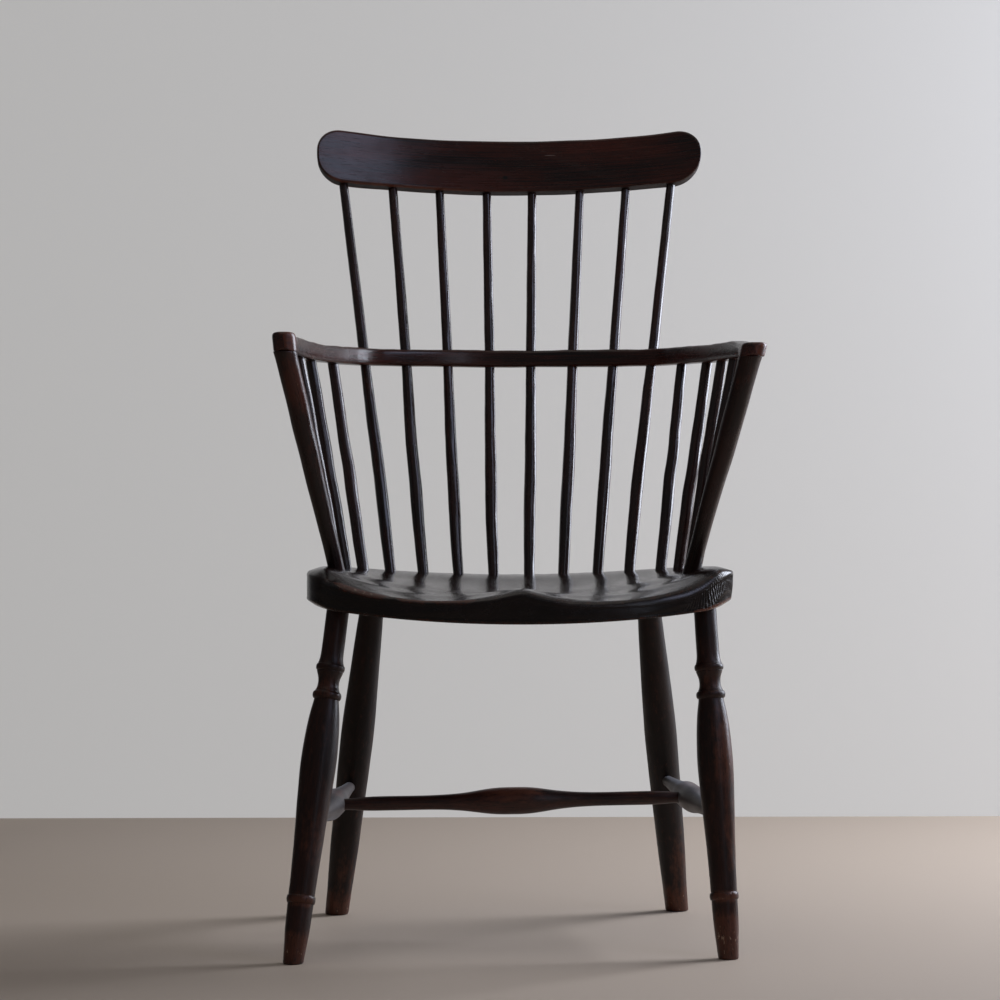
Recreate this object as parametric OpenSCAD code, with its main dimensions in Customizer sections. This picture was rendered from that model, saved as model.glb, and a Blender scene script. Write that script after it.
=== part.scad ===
// Comb-back Windsor armchair: a cupped plank seat, four turned legs with an H of stretchers,
// a bent arm bow carried by two posts and eight short spindles, and eight long spindles
// that run from the seat through the bow to a curved comb rail.
// Lengths are in millimetres. X is the sitter's left to right as seen from the front, Y runs
// to the back and Z is up from the floor.

/* [Seat] */
// Height of the seat's top at its middle, before it is hollowed
seat_top = 450; // [435:1:465]
// Thickness of the plank
seat_t = 49; // [44:1:54]
// Half of the seat's greatest width
seat_half_w = 260; // [250:1:270]
// How far the seat lies to the right of the frame's middle
seat_x = 2.5; // [0:0.5:5]
// Where the seat is widest, measured from the middle of the feet
seat_wide_y = -100; // [-115:1:-85]
// From the widest place forward to the front edge
seat_front_d = 128; // [118:1:140]
// From the widest place back to the back edge
seat_back_d = 286; // [278:1:296]
// Squareness of the front corners (2 is an ellipse)
seat_front_n = 2.8; // [2.2:0.1:3.4]
// Radius to which the plank has cupped across its width, at the underside
cup_r = 1700; // [1400:50:2400]
// Height of the seat's rim at the front corners, where its top is eased down
rim_z = 460; // [454:1:464]
// Height of the bevel under the seat's sides and back
bevel_h = 9; // [6:1:14]
// How far the bevel runs in for each millimetre of its height
bevel_run = 1.5; // [1:0.1:2]
// Depth of the main hollow below the plank's top
dish_d = 19; // [12:1:22]
// Radius of the main hollow's curve
dish_r = 760; // [600:10:900]
// Depth of each thigh hollow at the front edge
thigh_d = 24; // [16:1:27]
// Radius of a thigh hollow's curve
thigh_r = 335; // [280:5:360]
// Distance of each thigh hollow from the middle
thigh_x = 99; // [85:1:110]

/* [Legs] */
// How far each front leg's top stands in from the seat's widest side and from its front
inset_front_left = [38.7, 74];
inset_front_right = [34.9, 75];
// How far each back leg's top stands in from the seat's widest side and from its back
inset_back_left = [76.5, 113];
inset_back_right = [88.1, 111];
// Height at which these insets are measured
leg_top_z = 410; // [405:1:414]
// How far each foot stands out from its leg's top: to the side, and to the front or back
splay_front_left = [50.1, 83];
splay_front_right = [23, 56];
splay_back_left = [49, 137];
splay_back_right = [48.6, 162];
// Diameter of a front leg at the seat
front_leg_top_dia = 27.4; // [25:0.2:30]
// Greatest diameter of a front leg
front_leg_swell_dia = 43; // [39:0.5:45]
// Height of that swelling above the floor
front_swell_z = 232; // [215:1:245]
// Diameter of a front leg at the floor
front_foot_dia = 24.6; // [22:0.2:28]
// Diameter of the two rings under a front leg's neck
neck_ring_dia = 35; // [33:0.5:38]
// Heights of these rings above the floor
neck_ring_z = [313.5, 346.5];
// Diameter of the ring above a front foot
foot_ring_dia = 34.8; // [33:0.2:37]
// Height of that ring above the floor
foot_ring_z = 74; // [68:1:84]
// Diameter of a back leg at the seat
back_leg_top_dia = 31; // [29:0.2:33]
// Greatest diameter of a back leg
back_leg_swell_dia = 42; // [38:0.5:44]
// Height of that swelling above the floor
back_swell_z = 237; // [220:1:250]
// Diameter of a back leg at the floor
back_foot_dia = 30.4; // [28:0.2:33]
// Depth of the blind sockets that take the legs
leg_socket = 26; // [20:1:28]

/* [Stretchers] */
// Heights of the left and right side stretchers at the front legs
side_front_z = [160, 168];
// Heights of the left and right side stretchers at the back legs
side_back_z = [176, 182];
// Diameter of every stretcher at its ends
stretcher_end_dia = 14.4; // [12:0.2:16]
// Greatest diameter of a side stretcher
side_swell_dia = 34; // [30:0.5:38]
// Length of a side stretcher's swelling
side_swell_len = 220; // [180:5:250]
// Diameter of the cross stretcher beside its swelling
cross_bar_dia = 17.4; // [16:0.2:20]
// Greatest diameter of the cross stretcher
cross_swell_dia = 34; // [30:0.5:38]
// Length of the cross stretcher's swelling
cross_swell_len = 205; // [160:5:240]
// Depth of the blind sockets that take the stretchers
stretcher_socket = 15; // [12:0.5:16]

/* [Arm bow] */
// Height of the bow's top at the back
bow_top = 746; // [720:1:770]
// Height of the bow's section
bow_h = 22.5; // [19:0.5:25]
// Width of the bow's section, seen from above
bow_w = 24; // [21:0.5:27]
// Rounding of the section's corners
bow_round = 5; // [3:0.5:7]
// How far the bow's centre line lies behind the seat's back edge
bow_behind = 27; // [20:1:34]
// Radius of the bow across the back
bow_back_r = 340; // [320:5:360]
// Radius of the bow round its corners
bow_corner_r = 110; // [100:1:120]
// Radius of the bow along the arms
bow_side_r = 610; // [580:5:640]
// Angles of the bow where the corner starts and where it ends, from the middle of the back
bow_angles = [30, 62];
// Width of the rounded end of each arm
grip_dia = 29; // [27:0.5:31]
// How far each rounded end stands proud of the arm, above and below
grip_proud = 0.5; // [0.3:0.1:1]

/* [Arm posts] */
// How far the left and the right post stand in from the seat's widest side
post_inset = [35.5, 46];
// How far the top of a post stands in from the middle of the grip
post_in = 2; // [0:0.5:4]
// How far behind the seat's widest place the posts stand
post_behind = 16; // [8:1:22]
// Diameter of a post at the seat
post_base_dia = 20; // [18:0.2:22]
// Diameter of a post under the bow
post_top_dia = 26.6; // [24:0.2:28]
// Diameter of the tenon on top of a post
post_tenon_dia = 14; // [12:0.2:16]
// Length of that tenon
post_tenon_len = 13; // [10:0.5:15]
// Depth of the blind sockets that take the posts
post_socket = 26; // [20:1:28]

/* [Spindles] */
// Angles of the left long spindles round the bow, from the middle of the back
long_bow_angles_left = [4.64, 14.16, 23.93, 44.43];
// Angles of the right long spindles round the bow, from the middle of the back
long_bow_angles_right = [4.56, 13.96, 23.39, 39.19];
// Places of the left long spindles along the comb, from the middle outwards
long_comb_left = [30.6, 93.8, 156.1, 221];
// Places of the right long spindles along the comb, from the middle outwards
long_comb_right = [30.1, 93.6, 154.4, 212.9];
// How far the line of the short spindles lies in from the seat's side and from its back
spindle_inset = [30, 28];
// Angles of the left short spindles round that line, from back to front
short_seat_angles_left = [56.5, 67.5, 75, 80];
// Angles of the right short spindles round that line, from back to front
short_seat_angles_right = [54.8, 64.6, 72.5, 78.5];
// Angles of the left short spindles round the bow, from back to front
short_bow_angles_left = [66.1, 73, 77.6, 82];
// Angles of the right short spindles round the bow, from back to front
short_bow_angles_right = [63.5, 70, 74.5, 79];
// Diameter of a spindle at the seat
spindle_seat_dia = 14; // [12:0.2:15]
// Greatest diameter of a spindle, low down
spindle_swell_dia = 15.8; // [14:0.2:17]
// Height of that place above the seat
spindle_swell_up = 100; // [70:5:130]
// Diameter of a spindle at the bow
spindle_bow_dia = 13.2; // [12:0.2:14]
// Diameter of a long spindle at the comb
spindle_comb_dia = 11.6; // [10:0.2:13]
// Depth of the blind sockets in the seat, and in the bow for the short spindles
spindle_socket = [18, 14];
// Depth of the blind sockets in the comb
comb_socket = 20; // [14:1:26]

/* [Comb rail] */
// How far the comb's lower edge lies behind the seat's back edge at the middle
comb_behind = 73; // [64:1:84]
// Height of the comb's lower edge at the middle
comb_z = 957.5; // [940:0.5:975]
// How far the comb lies to the left of the frame's middle
comb_x = 2; // [0:0.5:4]
// Height of the comb's face
comb_h = 70; // [60:0.5:78]
// Thickness of the comb
comb_t = 26; // [22:0.5:30]
// Half of the comb's length
comb_half_w = 253.5; // [244:0.5:262]
// Radius to which the comb is bent
comb_r = 540; // [500:5:600]
// Lean of the comb from upright
comb_lean = 10.5; // [8:0.5:13]
// Rounding of the comb's end corners
comb_round = 28; // [20:1:32]

/* [Fit] */
// Clearance round every tenon
fit = 0.1; // [0.05:0.01:0.15]
// Gap left at the bottom of every blind socket
end_gap = 0.6; // [0.3:0.1:1]

/* [Hidden] */
$fn = 96;
far = 2000;

// Legs: left before right and front before back. Each top stands in from the seat's edge, and
// each foot stands out from its top.
insets = [inset_front_left, inset_front_right, inset_back_left, inset_back_right];
splays = [splay_front_left, splay_front_right, splay_back_left, splay_back_right];
function out_x(i) = i % 2 == 0 ? -1 : 1;
function out_y(i) = i < 2 ? -1 : 1;
tops = [for (i = [0 : 3]) [seat_x + out_x(i) * (seat_half_w - insets[i][0]),
    seat_wide_y + out_y(i) * ((i < 2 ? seat_front_d : seat_back_d) - insets[i][1])]];
feet = [for (i = [0 : 3]) tops[i] + [out_x(i) * splays[i][0], out_y(i) * splays[i][1]]];

// The back's places follow the seat's back edge.
seat_back_y = seat_wide_y + seat_back_d;
bow_back_y = seat_back_y + bow_behind;
comb_y = seat_back_y + comb_behind;

// Origin: on the floor, under the middle of the chair's bounding box.
front_y = min(feet[0][1], feet[1][1]) - front_foot_dia / 2;
back_y = comb_y + comb_h * sin(comb_lean) + comb_t / 2 * cos(comb_lean);
origin_y = (front_y + back_y) / 2;

// Places two points apart: a unit vector, and the point at height z on the line from a to b.
function unit(v) = v / norm(v);
function at_height(a, b, z) = a + (b - a) * (z - a[2]) / (b[2] - a[2]);

// A smooth curve through the points p, with n steps between each pair.
function clamp_at(p, i) = p[max(0, min(len(p) - 1, i))];
function through(a, b, c, d, t) =
    ((2 * b) + (c - a) * t + (2 * a - 5 * b + 4 * c - d) * t * t
    + (3 * b - a - 3 * c + d) * t * t * t) / 2;
function smooth(p, n) = [
    for (i = [0 : len(p) - 2], k = [0 : i == len(p) - 2 ? n : n - 1])
        through(clamp_at(p, i - 1), p[i], p[i + 1], clamp_at(p, i + 2), k / n)
];

// Stands the children's Z axis on the line from a to b, with its zero at a. The spin turns
// them about that line, which keeps a turning's start line away from the holes cut into it.
module along(a, b, spin) {
    v = b - a;
    translate(a)
        rotate([0, acos(v[2] / norm(v)), atan2(v[1], v[0])])
            rotate([0, 0, spin])
                children();
}

// A turning whose outline is a list of [height, diameter].
module turning(outline) {
    rotate_extrude()
        polygon(concat([[0, outline[0][0]]],
            [for (p = outline) [p[1] / 2, p[0]]],
            [[0, outline[len(outline) - 1][0]]]));
}

// A round rod or bore from a to b, run on by before and past these points.
module rod(a, b, dia, before, past) {
    along(a, b, 90)
        translate([0, 0, -before])
            cylinder(d = dia, h = norm(b - a) + before + past);
}

// Moves the finished piece so that the origin is where the frame says.
module placed() {
    translate([0, -origin_y, 0])
        children();
}

// Seat surfaces: the plank is a slice of a thick tube that lies front to back.
cup_z = seat_top - seat_t + cup_r;
function seat_under_z(x) = cup_z - sqrt(pow(cup_r, 2) - pow(x - seat_x, 2));
function seat_over_z(x) = cup_z - sqrt(pow(cup_r - seat_t, 2) - pow(x - seat_x, 2));

rim_run = 3;

// Outline of the seat: a squarer curve in front of its widest place, an ellipse behind it.
function signed_power(v, e) = sign(v) * pow(abs(v), e);
function seat_edge(t) = let (front = sin(t) < 0, n = front ? seat_front_n : 2)
    [seat_half_w * signed_power(cos(t), 2 / n),
    seat_wide_y + (front ? seat_front_d : seat_back_d) * signed_power(sin(t), 2 / n)];

// Line on which the short spindles stand, by its angle from the middle of the back.
spindle_line = [seat_half_w - spindle_inset[0], seat_back_d - spindle_inset[1]];
function spindle_foot(side, t) = let (x = side * spindle_line[0] * sin(t))
    [x, seat_wide_y + spindle_line[1] * cos(t), seat_over_z(x)];

// Centre line of the bow, by its angle from the middle of the back. Three arcs meet smoothly.
function heading(t) = [sin(t), cos(t)];
bow_c1 = [0, bow_back_y - bow_back_r];
bow_c2 = bow_c1 + (bow_back_r - bow_corner_r) * heading(bow_angles[0]);
bow_c3 = bow_c2 + (bow_corner_r - bow_side_r) * heading(bow_angles[1]);
function bow_line(t) = t < bow_angles[0] ? bow_c1 + bow_back_r * heading(t)
    : t < bow_angles[1] ? bow_c2 + bow_corner_r * heading(t)
    : bow_c3 + bow_side_r * heading(t);
bow_end = bow_line(90);

// Where two arcs of the bow meet: degrees by which one runs into the other, and how much
// fuller the corner is on every side.
bow_lap = 0.2;
bow_step = 0.1;
bow_under = bow_top - bow_h;

// A point of the comb's lower edge, by its distance x from the comb's middle.
function comb_point(x) = let (y = sqrt(comb_r * comb_r - x * x) - comb_r)
    [x - comb_x, comb_y + y * cos(comb_lean), comb_z - y * sin(comb_lean)];

// Ends of the legs at leg_top_z and on the floor.
function leg_high(i) = [tops[i][0], tops[i][1], leg_top_z];
function leg_low(i) = [feet[i][0], feet[i][1], 0];

// Where a leg's axis meets the seat's underside, and how far it then goes into the seat.
function leg_seat(i) = at_height(leg_low(i), leg_high(i), seat_under_z(leg_high(i)[0]));
function leg_tip(i) = leg_seat(i) + unit(leg_high(i) - leg_low(i)) * leg_socket;

// Ends of the posts, and of the side stretchers' and cross stretcher's axes.
function post_low(side) =
    let (x = seat_x + side * (seat_half_w - post_inset[side < 0 ? 0 : 1]))
    [x, seat_wide_y + post_behind, seat_over_z(x)];
function post_high(side) = [side * (bow_end[0] - post_in), bow_end[1], bow_under - grip_proud];
function side_front(i) = at_height(leg_low(i), leg_high(i), side_front_z[i % 2]);
function side_back(i) = at_height(leg_low(i), leg_high(i), side_back_z[i % 2]);
function side_middle(i) = (side_front(i) + side_back(i + 2)) / 2;

// Ends of the spindles: k is 0 to 3 from the middle outwards, or from back to front.
// A long one runs straight from the comb through the middle of the bow down to the seat.
function long_high(side, k) =
    comb_point(side < 0 ? comb_x - long_comb_left[k] : comb_x + long_comb_right[k]);
function long_bow(side, k) =
    let (p = bow_line(side < 0 ? long_bow_angles_left[k] : long_bow_angles_right[k]))
    [side * p[0], p[1], bow_top - bow_h / 2];
function long_low(side, k) = let (a = long_bow(side, k), b = long_high(side, k))
    at_height(a, b, seat_over_z(at_height(a, b, seat_top)[0]));
function short_low(side, k) =
    spindle_foot(side, side < 0 ? short_seat_angles_left[k] : short_seat_angles_right[k]);
function short_high(side, k) =
    let (p = bow_line(side < 0 ? short_bow_angles_left[k] : short_bow_angles_right[k]))
    [side * p[0], p[1], bow_under];

module seat_plank() {
    intersection() {
        translate([seat_x, 0, 0])
            linear_extrude(height = far)
                polygon([for (t = [0 : 5 : 355]) seat_edge(t)]);
        translate([seat_x, 0, cup_z])
            rotate([90, 0, 0])
                difference() {
                    cylinder(r = cup_r, h = far, center = true, $fn = 360);
                    cylinder(r = cup_r - seat_t, h = far + 2, center = true, $fn = 360);
                }
    }
}

// Bevels under the sides and back and on top of the front corners: two cones about the middle
// of the widest place. Each one passes the rim a little outside the seat's edge.
module seat_bevel() {
    low = seat_top - seat_t - 2;
    high = seat_top + 40;
    edge_r = seat_half_w + 4;
    under_z = seat_under_z(seat_x + seat_half_w) + bevel_h;
    translate([seat_x, seat_wide_y, low])
        intersection() {
            cylinder(r1 = edge_r - (under_z - low) * bevel_run,
                r2 = edge_r + (high - under_z) * bevel_run, h = high - low, $fn = 180);
            cylinder(r1 = edge_r + (rim_z - low) * rim_run,
                r2 = edge_r - (high - rim_z) * rim_run, h = high - low, $fn = 180);
        }
}

module hollow(out, y, depth, radius) {
    x = seat_x + out;
    translate([x, y, seat_over_z(x) - depth + radius])
        sphere(r = radius, $fn = 180);
}

module seat() {
    color("#2a1a16")
        placed()
            difference() {
                intersection() {
                    seat_plank();
                    seat_bevel();
                }
                hollow(0, seat_wide_y + 50, dish_d, dish_r);
                for (side = [-1, 1]) {
                    hollow(side * thigh_x, seat_wide_y - seat_front_d, thigh_d, thigh_r);
                    hollow(side * 0.86 * thigh_x, seat_wide_y - 30, dish_d, 1.45 * thigh_r);
                    rod(post_low(side), post_high(side), post_base_dia + 2 * fit,
                        post_socket + end_gap, 0);
                    for (k = [0 : 3]) {
                        rod(long_low(side, k), long_high(side, k), spindle_seat_dia + 2 * fit,
                            spindle_socket[0] + end_gap, 0);
                        rod(short_low(side, k), short_high(side, k), spindle_seat_dia + 2 * fit,
                            spindle_socket[0] + end_gap, 0);
                    }
                }
                for (i = [0 : 3])
                    rod(leg_low(i), leg_tip(i), leg_dia(i) + 2 * fit, 0, end_gap);
            }
}

function leg_dia(i) = i < 2 ? front_leg_top_dia : back_leg_top_dia;

// Outlines of the legs as [height above the floor, diameter], up to the tip in the seat.
function between(a, b, share) = a + (b - a) * share;
function front_leg_outline(tip) = let (low = foot_ring_z, mid = front_swell_z,
    neck = neck_ring_z[0], high = neck_ring_z[1]) concat(
    [[-10, front_foot_dia - 0.8]],
    smooth([[0, front_foot_dia], [0.22 * low, front_foot_dia + 1.8],
        [0.54 * low, foot_ring_dia - 5], [low - 6, foot_ring_dia - 3.4]], 4),
    smooth([[low + 6, foot_ring_dia - 3], [between(low, mid, 0.18), foot_ring_dia - 2.2],
        [between(low, mid, 0.48), foot_ring_dia + 1.4],
        [between(low, mid, 0.76), front_leg_swell_dia - 2.6], [mid, front_leg_swell_dia],
        [between(mid, neck, 0.38), front_leg_swell_dia - 1.8],
        [between(mid, neck, 0.69), front_leg_swell_dia - 6.4],
        [neck - 9, front_leg_top_dia + 4.4], [neck - 3, front_leg_top_dia + 3]], 4),
    smooth([[neck + 4, front_leg_top_dia + 2.4], [neck + 11, front_leg_top_dia],
        [high - 11, front_leg_top_dia - 0.4], [high - 4, front_leg_top_dia + 2]], 4),
    smooth([[high + 4, front_leg_top_dia + 3.4], [high + 12, front_leg_top_dia + 1],
        [high + 30, front_leg_top_dia], [tip - leg_socket - 8, front_leg_top_dia]], 4),
    [[tip, front_leg_top_dia]]);

function back_leg_outline(tip) = let (mid = back_swell_z, seat_z = tip - leg_socket) concat(
    [[-10, back_foot_dia - 0.6]],
    smooth([[0, back_foot_dia], [0.18 * mid, back_foot_dia + 2.5],
        [0.4 * mid, back_foot_dia + 6.4], [0.66 * mid, back_leg_swell_dia - 2.6],
        [mid, back_leg_swell_dia], [between(mid, seat_z, 0.28), back_leg_swell_dia - 1.8],
        [between(mid, seat_z, 0.56), back_leg_top_dia + 5.6],
        [seat_z - 28, back_leg_top_dia + 1.8], [seat_z - 8, back_leg_top_dia]], 5),
    [[tip, back_leg_top_dia]]);

module bead(z, dia, thick) {
    translate([0, 0, z])
        rotate_extrude()
            translate([(dia - thick) / 2, 0])
                circle(d = thick, $fn = 32);
}

module leg(i) {
    tip = leg_tip(i);
    slant = norm(tip - leg_low(i)) / tip[2];
    outline = i < 2 ? front_leg_outline(tip[2]) : back_leg_outline(tip[2]);
    difference() {
        along(leg_low(i), leg_high(i), 180)
            union() {
                turning([for (p = outline) [p[0] * slant, p[1]]]);
                if (i < 2) {
                    bead(foot_ring_z * slant, foot_ring_dia, 9);
                    for (z = neck_ring_z)
                        bead(z * slant, neck_ring_dia, 9);
                }
            }
        translate([-far / 2, -far / 2, -far])
            cube([far, far, far]);
        side_bore(i);
    }
}

// The stretcher's socket starts inside the leg, half of the leg's thickness from its face.
leg_at_stretcher = [37.6, 39.6];
function stretcher_reach(i) = leg_at_stretcher[i < 2 ? 0 : 1] / 2 - stretcher_socket;
module side_bore(i) {
    a = i < 2 ? side_front(i) : side_back(i);
    b = i < 2 ? side_back(i + 2) : side_front(i - 2);
    along(a, b, 90)
        translate([0, 0, stretcher_reach(i) - end_gap])
            cylinder(d = stretcher_end_dia + 2 * fit, h = far / 20);
}

module side_stretcher(i) {
    a = side_front(i) + unit(side_back(i + 2) - side_front(i)) * stretcher_reach(i);
    b = side_back(i + 2) + unit(side_front(i) - side_back(i + 2)) * stretcher_reach(i + 2);
    length = norm(b - a);
    m = norm(side_middle(i) - a);
    s = side_swell_len / 2;
    c = side_middle(1 - i);
    difference() {
        along(a, b, i == 0 ? 90 : -90)
            turning(concat([[0, stretcher_end_dia]],
                smooth([[stretcher_socket + 6, stretcher_end_dia], [m - s, stretcher_end_dia + 3.6],
                    [m - 0.55 * s, side_swell_dia - 9], [m - 0.24 * s, side_swell_dia - 0.6],
                    [m, side_swell_dia], [m + 0.24 * s, side_swell_dia - 0.6],
                    [m + 0.55 * s, side_swell_dia - 9], [m + s, stretcher_end_dia + 3.6],
                    [length - stretcher_socket - 6, stretcher_end_dia]], 5),
                [[length, stretcher_end_dia]]));
        along(side_middle(i), c, 0)
            translate([0, 0, side_swell_dia / 2 - stretcher_socket - end_gap])
                cylinder(d = stretcher_end_dia + 2 * fit, h = far / 20);
    }
}

module cross_stretcher_body() {
    reach = side_swell_dia / 2 - stretcher_socket;
    a = side_middle(0) + unit(side_middle(1) - side_middle(0)) * reach;
    b = side_middle(1) + unit(side_middle(0) - side_middle(1)) * reach;
    length = norm(b - a);
    m = length / 2;
    s = cross_swell_len / 2;
    along(a, b, 90)
        turning(concat([[0, stretcher_end_dia]],
            smooth([[stretcher_socket + 5, stretcher_end_dia], [50, cross_bar_dia + 0.4],
                [m - s, cross_bar_dia + 0.6], [m - 0.62 * s, cross_bar_dia + 4.6],
                [m - 0.26 * s, cross_swell_dia - 2], [m, cross_swell_dia],
                [m + 0.26 * s, cross_swell_dia - 2], [m + 0.62 * s, cross_bar_dia + 4.6],
                [m + s, cross_bar_dia], [length - 50, cross_bar_dia - 0.2],
                [length - stretcher_socket - 5, stretcher_end_dia]], 5),
            [[length, stretcher_end_dia]]));
}

module arm_post(side) {
    a = post_low(side) - unit(post_high(side) - post_low(side)) * post_socket;
    length = norm(post_high(side) - a);
    difference() {
        along(a, post_high(side), 180)
            turning(concat([[0, post_base_dia]],
                smooth([[post_socket + 6, post_base_dia],
                    [between(post_socket, length, 0.21), post_base_dia + 0.8],
                    [between(post_socket, length, 0.61), post_top_dia - 1.2],
                    [between(post_socket, length, 0.82), post_top_dia],
                    [length + post_top_dia / 2, post_top_dia]], 5)));
        translate([-far / 2, -far / 2, post_high(side)[2] - fit])
            cube([far, far, far]);
    }
    rod(post_high(side) - unit(post_high(side) - a), post_high(side), post_tenon_dia, 4,
        post_tenon_len - end_gap);
}

// Section of the bow: a rectangle with softened corners, its underside on the zero line.
// It is grown by fuller on every side.
module bow_section(fuller) {
    x = bow_w / 2 - bow_round;
    z = bow_h / 2 - bow_round;
    r = bow_round + fuller;
    polygon([for (i = [0 : 3], t = [0 : 22.5 : 90])
        [(i == 0 || i == 3 ? x : -x) + r * cos(90 * i + t),
        bow_h / 2 + (i < 2 ? z : -z) + r * sin(90 * i + t)]]);
}

module bow_arc(centre, radius, from, to, fuller) {
    translate([centre[0], centre[1], 0])
        rotate([0, 0, 90 - to])
            rotate_extrude(angle = to - from, $fn = 180)
                translate([radius, 0])
                    bow_section(fuller);
}

// One side of the bow, from the end of the back to a rounded grip. The corner is a hair
// fuller than the arcs beside it, so that they end inside it.
module bow_side() {
    bow_arc(bow_c2, bow_corner_r, bow_angles[0], bow_angles[1], bow_step);
    bow_arc(bow_c3, bow_side_r, bow_angles[1] - bow_lap, 90, 0);
    translate([bow_end[0], bow_end[1], -grip_proud])
        cylinder(d = grip_dia, h = bow_h + 2 * grip_proud, $fn = 64);
}

module arm_bow() {
    color("#241612")
        placed()
            difference() {
                translate([0, 0, bow_under]) {
                    bow_arc(bow_c1, bow_back_r, -bow_angles[0] - bow_lap, bow_angles[0] + bow_lap, 0);
                    bow_side();
                    mirror([1, 0, 0])
                        bow_side();
                }
                for (side = [-1, 1]) {
                    rod(post_high(side), post_high(side) * 2 - post_low(side), post_tenon_dia + 2 * fit,
                        bow_round, post_tenon_len - norm(post_high(side) - post_low(side)));
                    for (k = [0 : 3]) {
                        rod(long_low(side, k), long_high(side, k), spindle_bow_dia + 2 * fit, 0, 0);
                        rod(short_low(side, k), short_high(side, k), spindle_bow_dia + 2 * fit, 0,
                            spindle_socket[1] + end_gap);
                    }
                }
            }
}

// A spindle from a in the seat, through its swelling, to b. It is straight where it is held.
module long_spindle(side, k) {
    low = long_low(side, k);
    high = long_high(side, k);
    a = low - unit(high - low) * spindle_socket[0];
    bow = norm(long_bow(side, k) - a);
    swell = spindle_socket[0] + spindle_swell_up;
    length = norm(high - a);
    along(a, high, 0)
        turning(concat([[0, spindle_seat_dia]],
            smooth([[spindle_socket[0] + 4, spindle_seat_dia],
                [swell, spindle_swell_dia], [(swell + bow) / 2, spindle_bow_dia + 1.6],
                [bow - bow_h, spindle_bow_dia]], 5),
            smooth([[bow + bow_h, spindle_bow_dia], [(bow + length) / 2, spindle_comb_dia + 0.9],
                [length - 6, spindle_comb_dia]], 5),
            [[length + comb_socket - end_gap, spindle_comb_dia]]));
}

module short_spindle(side, k) {
    low = short_low(side, k);
    high = short_high(side, k);
    a = low - unit(high - low) * spindle_socket[0];
    length = norm(high - a);
    along(a, high, 0)
        turning(concat([[0, spindle_seat_dia]],
            smooth([[spindle_socket[0] + 4, spindle_seat_dia],
                [spindle_socket[0] + 0.9 * spindle_swell_up, spindle_swell_dia - 0.4],
                [between(spindle_socket[0], length, 0.7), spindle_bow_dia + 1],
                [length - 8, spindle_bow_dia]], 5),
            [[length + spindle_socket[1] - end_gap, spindle_bow_dia]]));
}

// Face of the comb: a long rectangle with round corners.
module comb_face() {
    x = comb_half_w - comb_round;
    translate([-x, 0])
        square([2 * x, comb_h]);
    translate([-comb_half_w, comb_round])
        square([2 * comb_half_w, comb_h - 2 * comb_round]);
    for (sx = [-x, x], z = [comb_round, comb_h - comb_round])
        translate([sx, z])
            circle(r = comb_round);
}

module comb_rail() {
    half = asin((comb_half_w + comb_t) / comb_r);
    color("#2c1917")
        placed()
            difference() {
                translate([-comb_x, comb_y, comb_z])
                    rotate([-comb_lean, 0, 0])
                        intersection() {
                            translate([0, -comb_r, 0])
                                rotate([0, 0, 90 - half])
                                    rotate_extrude(angle = 2 * half, $fn = 360)
                                        translate([comb_r - comb_t / 2, 0])
                                            square([comb_t, comb_h]);
                            translate([0, far / 2, 0])
                                rotate([90, 0, 0])
                                    linear_extrude(height = far)
                                        comb_face();
                        }
                for (side = [-1, 1], k = [0 : 3])
                    rod(long_low(side, k), long_high(side, k), spindle_comb_dia + 2 * fit, 0,
                        comb_socket);
            }
}

module front_leg(i) {
    color("#2b1a17")
        placed()
            leg(i);
}

module back_leg(i) {
    color("#241613")
        placed()
            leg(i);
}

module side_rail(i) {
    color("#34302f")
        placed()
            side_stretcher(i);
}

module cross_rail() {
    color("#2a1b18")
        placed()
            cross_stretcher_body();
}

module post(side) {
    color("#281a16")
        placed()
            arm_post(side);
}

module back_stick(side, k) {
    color("#231614")
        placed()
            long_spindle(side, k);
}

module arm_stick(side, k) {
    color("#231614")
        placed()
            short_spindle(side, k);
}

seat();
front_leg(0);  // front_leg_left
front_leg(1);  // front_leg_right
back_leg(2);  // back_leg_left
back_leg(3);  // back_leg_right
side_rail(0);  // side_stretcher_left
side_rail(1);  // side_stretcher_right
cross_rail();  // cross_stretcher
post(-1);  // arm_post_left
post(1);  // arm_post_right
arm_bow();
comb_rail();
for (k = [0 : 3]) {
    back_stick(-1, k);
    back_stick(1, k);
    arm_stick(-1, k);
    arm_stick(1, k);
}
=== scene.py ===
# A comb-back Windsor armchair in dark stained and waxed wood, dressed on its CAD model.
# Sizes are in millimetres. x runs to the right as seen from the front, y to the back and z up.
import math

import bmesh
import bpy
import numpy as np
from mathutils import Euler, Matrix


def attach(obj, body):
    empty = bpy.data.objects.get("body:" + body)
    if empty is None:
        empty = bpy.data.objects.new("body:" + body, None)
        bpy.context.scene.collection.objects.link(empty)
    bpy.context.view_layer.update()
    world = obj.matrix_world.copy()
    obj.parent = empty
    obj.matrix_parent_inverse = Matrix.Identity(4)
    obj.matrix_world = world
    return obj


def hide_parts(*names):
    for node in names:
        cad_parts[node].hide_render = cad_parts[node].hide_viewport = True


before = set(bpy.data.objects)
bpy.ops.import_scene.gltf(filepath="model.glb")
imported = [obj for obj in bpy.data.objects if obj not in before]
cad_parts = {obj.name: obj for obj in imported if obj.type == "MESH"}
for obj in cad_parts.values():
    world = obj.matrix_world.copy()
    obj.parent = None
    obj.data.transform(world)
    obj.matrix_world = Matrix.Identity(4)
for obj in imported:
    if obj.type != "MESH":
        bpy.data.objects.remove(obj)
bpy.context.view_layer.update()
scene = bpy.context.scene
print("frame loaded:", len(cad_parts), "nodes")

mm = 0.001
frameY = 17.619  # places below are measured from the middle of the feet, which is this far behind the origin


# small helpers for shapes

def unit(v):
    return v / np.linalg.norm(v)


def point(*v):
    return np.array(v, float)


def atHeight(a, b, z):
    return a + (b - a) * (z - a[2]) / (b[2] - a[2])


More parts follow.
